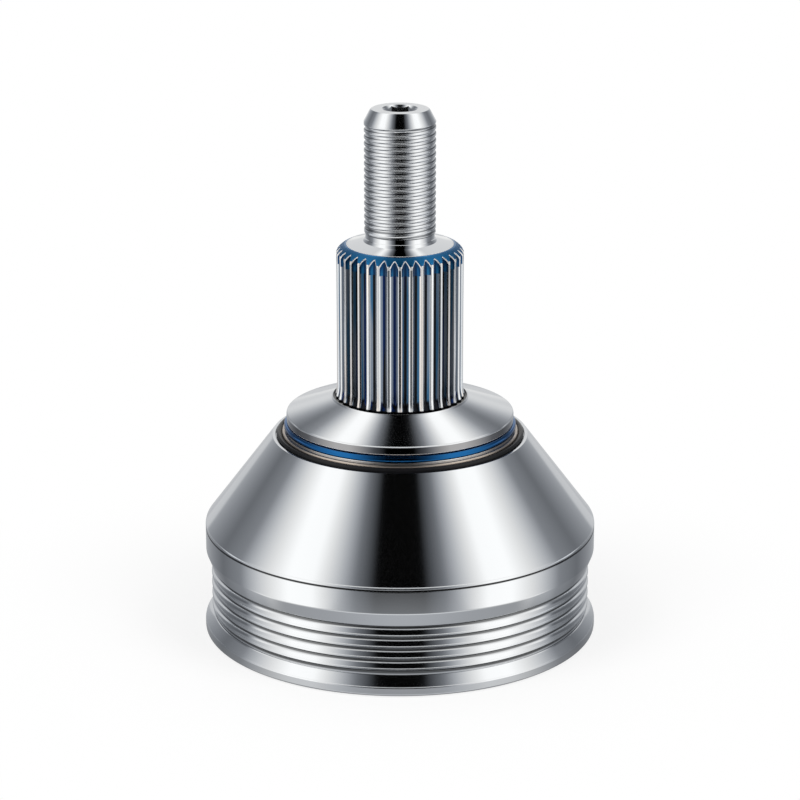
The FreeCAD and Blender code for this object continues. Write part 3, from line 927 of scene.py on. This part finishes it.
def spline_rings(shell):
    """The teeth, from inside the collar up to the shoulder; returns the first and the last ring."""
    columns = tooth_places()
    first = shell.ring([(ROOT_RADIUS - STEM_FOOT_INSET, angle, STEM_FOOT) for angle, depth in columns])
    runout = [SPLINE_BOTTOM + step * RUNOUT_LENGTH / RUNOUT_STEPS for step in range(RUNOUT_STEPS + 1)]
    lower = first
    for height in (*FOOT_RINGS, *runout, *STEM_RINGS, COAT_BOTTOM):
        lower = shell.grow(lower, [(tooth_radius(depth, height), angle, height) for angle, depth in columns])
    ends = [(SPLINE_RADIUS - depth * TOOTH_DEPTH, angle) for angle, depth in columns]
    edge = EDGE_ROUND + EDGE_HOLD
    for inset, drop in ((0.0, edge), (0.0, EDGE_ROUND), (EDGE_CUT, EDGE_CUT), (EDGE_ROUND, 0.0), (edge, 0.0)):
        places = [(radius - inset, angle) for radius, angle in ends]
        lower = shell.grow(lower, on_lead_in(places, drop))
    for share in LEAD_RINGS:
        places = []
        for radius, angle in ends:
            start = radius - edge
            places.append((start + (SHOULDER_RADIUS + EDGE_HOLD - start) * share, angle))
        lower = shell.grow(lower, on_lead_in(places))
    return first, lower


def shoulder_rings(shell, lower):
    """The shoulder above the spline, and the neck below the thread with its fillet."""
    edge = SHOULDER_RADIUS + EDGE_HOLD
    neck = STUB_RADIUS - NECK_DEPTH
    outline = rounded([
        (edge, lead_in_height(edge), 0),
        (SHOULDER_RADIUS, SPLINE_TOP, SOFT_ROUND),
        (neck + NECK_FILLET, SHOULDER_TOP, 0),
    ])
    for radius, height in outline[1:-1]:
        lower = shell.grow(lower, [(radius, angle, height) for angle, depth in tooth_places()])
    ring = shell.even_ring(*towards(outline[-2], outline[-1], SHOULDER_RING), 3 * STUB_COLUMNS)
    shell.join(lower, ring)
    fillet = []
    for step in range(FILLET_STEPS + 1):
        turn = FULL_TURN / 4 * step / FILLET_STEPS
        radius = neck + NECK_FILLET * (1 - math.sin(turn))
        fillet.append((radius, SHOULDER_TOP + NECK_FILLET * (1 - math.cos(turn))))
    first = shell.even_ring(*fillet[0], STUB_COLUMNS)
    shell.join_three_to_one(ring, first)
    shell.turned(fillet[1:] + [(neck, THREAD_BOTTOM)], STUB_COLUMNS, first)


def thread_place(base, depth, climb):
    """The (radius, angle, height) at a share of the turn on a row of the thread."""
    height = min(max(base + climb * THREAD_PITCH, THREAD_BOTTOM), THREAD_TOP)
    above = height - THREAD_BOTTOM
    fade = min(above / THREAD_FADE_BELOW, (THREAD_TOP - height) / THREAD_FADE_ABOVE, 1)
    neck = NECK_DEPTH * min(max(1 - above / NECK_DEPTH, 0), 1)
    return (STUB_RADIUS - neck - depth * THREAD_DEPTH * fade, climb * FULL_TURN, height)


def thread_rings(shell):
    """The helical thread, as rows that climb one pitch a turn and end flat at both ends."""
    # One turn more at each end, which is cut flat there
    turns = math.ceil((THREAD_TOP - THREAD_BOTTOM) / THREAD_PITCH) + 2
    start = THREAD_BOTTOM - THREAD_PITCH
    grid = []
    for turn in range(turns):
        for share, depth in THREAD_ROWS:
            base = start + (turn + share) * THREAD_PITCH
            climbs = [column / STUB_COLUMNS for column in range(STUB_COLUMNS)]
            grid.append(shell.ring([thread_place(base, depth, climb) for climb in climbs]))
    per_turn = len(THREAD_ROWS)
    for number, (lower, upper) in enumerate(zip(grid, grid[1:])):
        for column in range(STUB_COLUMNS - 1):
            shell.faces.append((lower[column], lower[column + 1], upper[column + 1], upper[column]))
        if number + per_turn + 1 < len(grid):
            next_lower = grid[number + per_turn][0]
            next_upper = grid[number + per_turn + 1][0]
            shell.faces.append((lower[-1], next_lower, next_upper, upper[-1]))


def hexagon_radius(angle):
    """Distance from the axis to the wall of the key socket at an angle."""
    sector = FULL_TURN / KEY_SIDES
    return KEY_FLATS / 2 / math.cos((angle % sector) - sector / 2)


def tip_rings(shell):
    """The taper above the thread, and the key socket with its drilled floor."""
    lower = shell.turned(rounded([
        (STUB_RADIUS, THREAD_TOP, 0),
        (STUB_RADIUS - TAPER_STEP, THREAD_TOP + TAPER_RISE, TAPER_FOOT_ROUND),
        (TIP_RADIUS, TAPER_TOP, TAPER_ROUND),
        (TIP_RADIUS - TIP_BEVEL, TIP_HEIGHT, TIP_ROUND),
        (KEY_BEVEL_RADIUS, TIP_HEIGHT, 0),
    ]), STUB_COLUMNS)
    floor = TIP_HEIGHT - KEY_DEPTH
    bevel = []
    walls = []
    for column in range(STUB_COLUMNS):
        angle = FULL_TURN * column / STUB_COLUMNS
        wall = hexagon_radius(angle)
        bevel.append((wall, angle, TIP_HEIGHT - (KEY_BEVEL_RADIUS - wall) * KEY_BEVEL_SLOPE))
        walls.append((wall, angle, floor))
    lower = shell.grow(lower, bevel)
    lower = shell.grow(lower, walls)
    shell.close(lower, floor - KEY_DRILL_DEPTH)


def make_stem():
    """The splined stem and the threaded stub, whose foot sits inside the collar."""
    shell = Shell()
    first, last = spline_rings(shell)
    shell.close(list(reversed(first)), STEM_FOOT)
    shoulder_rings(shell, last)
    thread_rings(shell)
    tip_rings(shell)
    stem = finished("outer_race_stem", shell_mesh(shell))
    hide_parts("outer_race")
    return stem


def make_ring(node, slot, outline):
    """A ring turned from a closed outline, in place of a CAD node."""
    shell = Shell()
    last = shell.turned(outline, BELL_COLUMNS)
    shell.join(last, list(range(BELL_COLUMNS)))
    ring = finished(node + "_turned", shell_mesh(shell))
    ring.data.materials.append(mottled(slot))
    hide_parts(node)
    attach(ring, "outer_race")


def make_rings():
    """The backing ring with its rounded lip, the domed dust seal and the blue ring."""
    make_ring("steel_backing_ring", "ring_steel", rounded([
        (COLLAR_RADIUS, RING_SEAT, 0),
        (BACKING_RADIUS, RING_SEAT, FINE_ROUND),
        (BACKING_RADIUS, BACKING_TOP, (BACKING_RADIUS - COLLAR_RADIUS) / 2),
        (COLLAR_RADIUS, BACKING_TOP, 0),
    ]))
    dome = (SEAL_RADIUS, SEAL_SHOULDER)
    make_ring("black_dust_seal", "black_rubber", rounded([
        (BACKING_RADIUS, RING_SEAT, 0),
        (SEAL_RADIUS, RING_SEAT, FINE_ROUND),
        (*dome, 0),
        *arc(dome, (BACKING_RADIUS, SEAL_SHOULDER), -SEAL_DOME),
        (BACKING_RADIUS, SEAL_SHOULDER, 0),
    ]))
    make_ring("blue_seal_ring", "blue_rubber", rounded([
        (GROOVE_RADIUS, GROOVE_BOTTOM, 0),
        (BLUE_RADIUS, GROOVE_BOTTOM, BLUE_ROUND),
        (BLUE_RADIUS, GROOVE_TOP, BLUE_ROUND),
        (GROOVE_RADIUS, GROOVE_TOP, 0),
    ]))


def bell_zones(graph, radius, height):
    """Painted shade under each rib, in the scored line, under the foot and on the collar's wall, and a
    painted highlight at the wall's foot.
    """
    rib = graph.math("DIVIDE", graph.math("SUBTRACT", height, RIBS_BOTTOM), RIB_PITCH)
    rib = graph.math("FRACT", rib)
    undercut = graph.both(graph.step(rib, *UNDERCUT_START), graph.step(rib, *UNDERCUT_END),
                          graph.span(height, *RIBS_SPAN, NARROW_SOFT))
    line = cone_height(BAND_RADIUS) - LINE_DROP
    scored = graph.span(height, line - LINE_WIDTH / 2, line + LINE_WIDTH / 2, LINE_SOFT)
    foot = graph.both(graph.step(height, *FOOT_SHADE_HEIGHT), graph.step(radius, *FOOT_SHADE_RADIUS),
                      FOOT_SHADE)
    shade = graph.math("ADD", graph.math("ADD", undercut, scored), foot, clamp=True)
    on_wall = graph.span(radius, *WALL_RADIUS_SPAN)
    return {
        "recess_shade": graph.both(shade, graph.step(radius, *OUTSIDE_RADIUS)),
        "wall": graph.both(graph.span(height, *WALL_SPAN), on_wall),
        "wall_foot_highlight": graph.both(graph.span(height, *WALL_FOOT_SPAN, LINE_SOFT), on_wall),
    }


def spline_zones(graph, radius, height):
    """The spline, its flanks and roots, and where painted shade lies on the flanks, in the grooves and in the
    moat at its foot.
    """
    flare = graph.step(height, SPLINE_BOTTOM + BASE_FLARE_HEIGHT, SPLINE_BOTTOM, smooth=False)
    plain = graph.math("SUBTRACT", radius, graph.both(flare, flare, BASE_FLARE))
    depth = graph.math("SUBTRACT", SPLINE_RADIUS, plain)
    stem = graph.both(graph.span(height, *SPLINE_SPAN, NARROW_SOFT), graph.step(depth, *STEM_DEPTH))
    root = graph.step(depth, *ROOT_DEPTH)
    runout = graph.both(graph.step(height, *RUNOUT_HEIGHT), graph.step(depth, *RUNOUT_DEPTH))
    return {
        "stem": stem,
        "flank_shade": graph.both(stem, graph.step(depth, *FLANK_DEPTH)),
        "root": root,
        "groove": graph.both(graph.math("MAXIMUM", root, runout), stem),
        "moat": graph.both(graph.step(height, *MOAT_HEIGHT), graph.span(radius, *MOAT_SPAN)),
    }


def stub_zones(graph, radius, height):
    """The shoulder and its edge, which gets a painted highlight, the thread and its flanks, which get painted
    shade, and the key socket.
    """
    thread = graph.both(graph.span(height, *THREAD_SPAN), graph.span(radius, *THREAD_RADIUS_SPAN))
    return {
        "shoulder": graph.span(height, SPLINE_TOP, THREAD_BOTTOM, NARROW_SOFT),
        "shoulder_edge": graph.both(graph.span(radius, *SHOULDER_EDGE_SPAN, NARROW_SOFT),
                                    graph.step(height, *SHOULDER_EDGE_HEIGHT)),
        "thread": thread,
        "thread_flank_shade": graph.both(thread, graph.span(radius, *THREAD_FLANK_SPAN)),
        "socket": graph.both(graph.step(radius, *SOCKET_RADIUS), graph.step(height, *SOCKET_HEIGHT)),
    }


def coat_zones(graph, radius, height):
    """The blue coat, the lead-in, the uncoated rims of the teeth beside it, which get a painted highlight,
    and where the coat gets painted shade.
    """
    centre = lead_centre()
    across = graph.math("SUBTRACT", radius, centre[0])
    along = graph.math("SUBTRACT", height, centre[1])
    under = graph.math("SUBTRACT", LEAD_ROUND, graph.length(across, along))
    limits = graph.both(graph.step(height, *COAT_FOOT), graph.step(height, *COAT_TOP),
                        graph.step(radius, *COAT_INNER_RADIUS))
    lead = graph.both(graph.step(under, *LEAD_UNDER), graph.step(height, *LEAD_RANGE))
    deep = graph.both(graph.step(under, *COAT_DEEP), graph.step(radius, *COAT_GROOVE_RADIUS))
    return {
        "coat": graph.both(graph.math("ADD", lead, deep, clamp=True), limits),
        "lead": lead,
        "rim": graph.both(graph.span(under, *BARE_RIM_HIGHLIGHT_SPAN, FINE_SOFT), limits),
        "coat_shade": graph.both(graph.step(under, *COAT_DARKER_START), graph.step(under, *COAT_DARKER_END),
                             COAT_DARKER),
    }


def coat_colour(graph, place, zones):
    """Blue in patches, brighter on the lead-in, and navy painted shade beneath it and in the roots of the
    grooves.
    """
    patches = graph.noise(place, PATCH_SCALE)
    blue = graph.colour(graph.step(patches, *PATCH_RANGE), BLUE, PALE_BLUE)
    blue = graph.colour(zones["lead"], blue, LEAD_BLUE)
    beside_lead = graph.step(zones["lead"], 1.0, 0.0, high=COAT_ROOT_SHARE)
    navy = graph.math("MAXIMUM", zones["coat_shade"], graph.both(zones["root"], beside_lead))
    return graph.colour(navy, blue, NAVY_PAINTED_SHADE)


def steel_colour(graph, place, zones):
    """The plain steel with each zone's colour laid over it in turn, and the coat last. Most zones are painted
    shade or painted highlights.
    """
    stretch = graph.add("ShaderNodeMapping", {"Vector": place, "Scale": STREAK_STRETCH}).outputs[0]
    streaks = graph.noise(stretch, STREAK_SCALE, STREAK_DETAIL)
    layers = {
        "stem": graph.colour(graph.step(streaks, *CREST_STREAKS), COOL_CREST, WARM_CREST),
        "flank_shade": graph.colour(graph.step(streaks, *FLANK_STREAKS), FLANK_PAINTED_SHADE, FLANK_PAINTED_BLUE_REFLECTION),
        "groove": graph.colour(graph.step(streaks, *ROOT_STREAKS), NAVY_ROOT_PAINTED_SHADE, ROOT_PAINTED_SHADE),
        "moat": ROOT_PAINTED_SHADE,
        "recess_shade": RECESS_PAINTED_SHADE,
        "wall": SHADED_WALL,
        "wall_foot_highlight": WALL_FOOT_PAINTED_HIGHLIGHT,
        "thread_flank_shade": THREAD_FLANK_PAINTED_SHADE,
        "bare_and_highlit": BARE_EDGE_PAINTED_HIGHLIGHT,
        "coat": coat_colour(graph, place, zones),
    }
    colour = STEEL
    for zone, tone in layers.items():
        colour = graph.colour(zones[zone], colour, tone)
    return colour


def machined_steel():
    """Bright turned steel; the lead-in and the upper ends of the spline's grooves have a blue coat."""
    material = bpy.data.materials.new("machined_steel")
    graph = Graph(material)
    place = graph.object_place()
    across, along, up = graph.split(place)
    radius = graph.math("DIVIDE", graph.length(across, along), MM)
    height = graph.math("DIVIDE", up, MM)
    zones = {}
    for make_zones in (bell_zones, spline_zones, stub_zones, coat_zones):
        zones.update(make_zones(graph, radius, height))
    # The uncoated rims of the teeth and the shoulder's edge: bare steel with a painted highlight
    zones["bare_and_highlit"] = graph.math("ADD", zones["rim"], zones["shoulder_edge"], clamp=True)

    turned = graph.add("ShaderNodeCombineXYZ", {"X": radius, "Z": height}).outputs[0]
    marks = graph.noise(turned, MARK_SCALE, MARK_DETAIL)
    roughness = graph.math("MULTIPLY_ADD", marks, MARK_ROUGHNESS, PLAIN_ROUGHNESS)
    for zone, added in ZONE_ROUGHNESS.items():
        roughness = graph.math("MULTIPLY_ADD", zones[zone], added, roughness)
    shader = graph.add("ShaderNodeBsdfPrincipled", {
        "Base Color": steel_colour(graph, place, zones),
        "Metallic": graph.math("MULTIPLY_ADD", zones["coat"], COAT_METALLIC - 1, 1.0),
        "Roughness": roughness,
        "Normal": graph.bump(marks, MARK_BUMP),
    })
    graph.surface(shader.outputs[0])
    return material


def mottled(slot):
    """The material of a slot, which varies between two tones and is a little uneven."""
    first, second, roughness, metallic, specular, bumpy = LOOKS[slot]
    material = bpy.data.materials.new(slot)
    graph = Graph(material)
    place = graph.object_place()
    patches = graph.noise(place, MOTTLE_SCALE)
    shader = graph.add("ShaderNodeBsdfPrincipled", {
        "Base Color": graph.colour(patches, first, second),
        "Metallic": metallic,
        "Specular IOR Level": specular,
        "Roughness": graph.math("MULTIPLY_ADD", patches, roughness * MOTTLE_ADDED, roughness * MOTTLE_LEAST),
        "Normal": graph.bump(graph.noise(place, GRAIN_SCALE), bumpy),
    })
    graph.surface(shader.outputs[0])
    return material


def dress(node, material):
    """Gives a CAD node its material."""
    mesh = NODES[node].data
    mesh.materials.clear()
    mesh.materials.append(material)
    smooth(mesh)


bpy.context.scene.view_settings.view_transform = "Standard"
make_camera()
make_world()
make_floor()
make_floor_cards()
make_lamp("key_lamp", -1)
make_lamp("fill_lamp", 1)

steel = machined_steel()
bell = make_bell()
stem = make_stem()
# The photograph's collar doesn't mirror the stem
stem.visible_glossy = False
for piece in (bell, stem):
    piece.data.materials.append(steel)
    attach(piece, "outer_race")

make_rings()
dress("cage", mottled("cage_steel"))
dress("inner_race", mottled("race_steel"))
dress("circlip", mottled("spring_steel"))
balls = mottled("ball_steel")
for name in NODES:
    if name.startswith("ball_"):
        dress(name, balls)
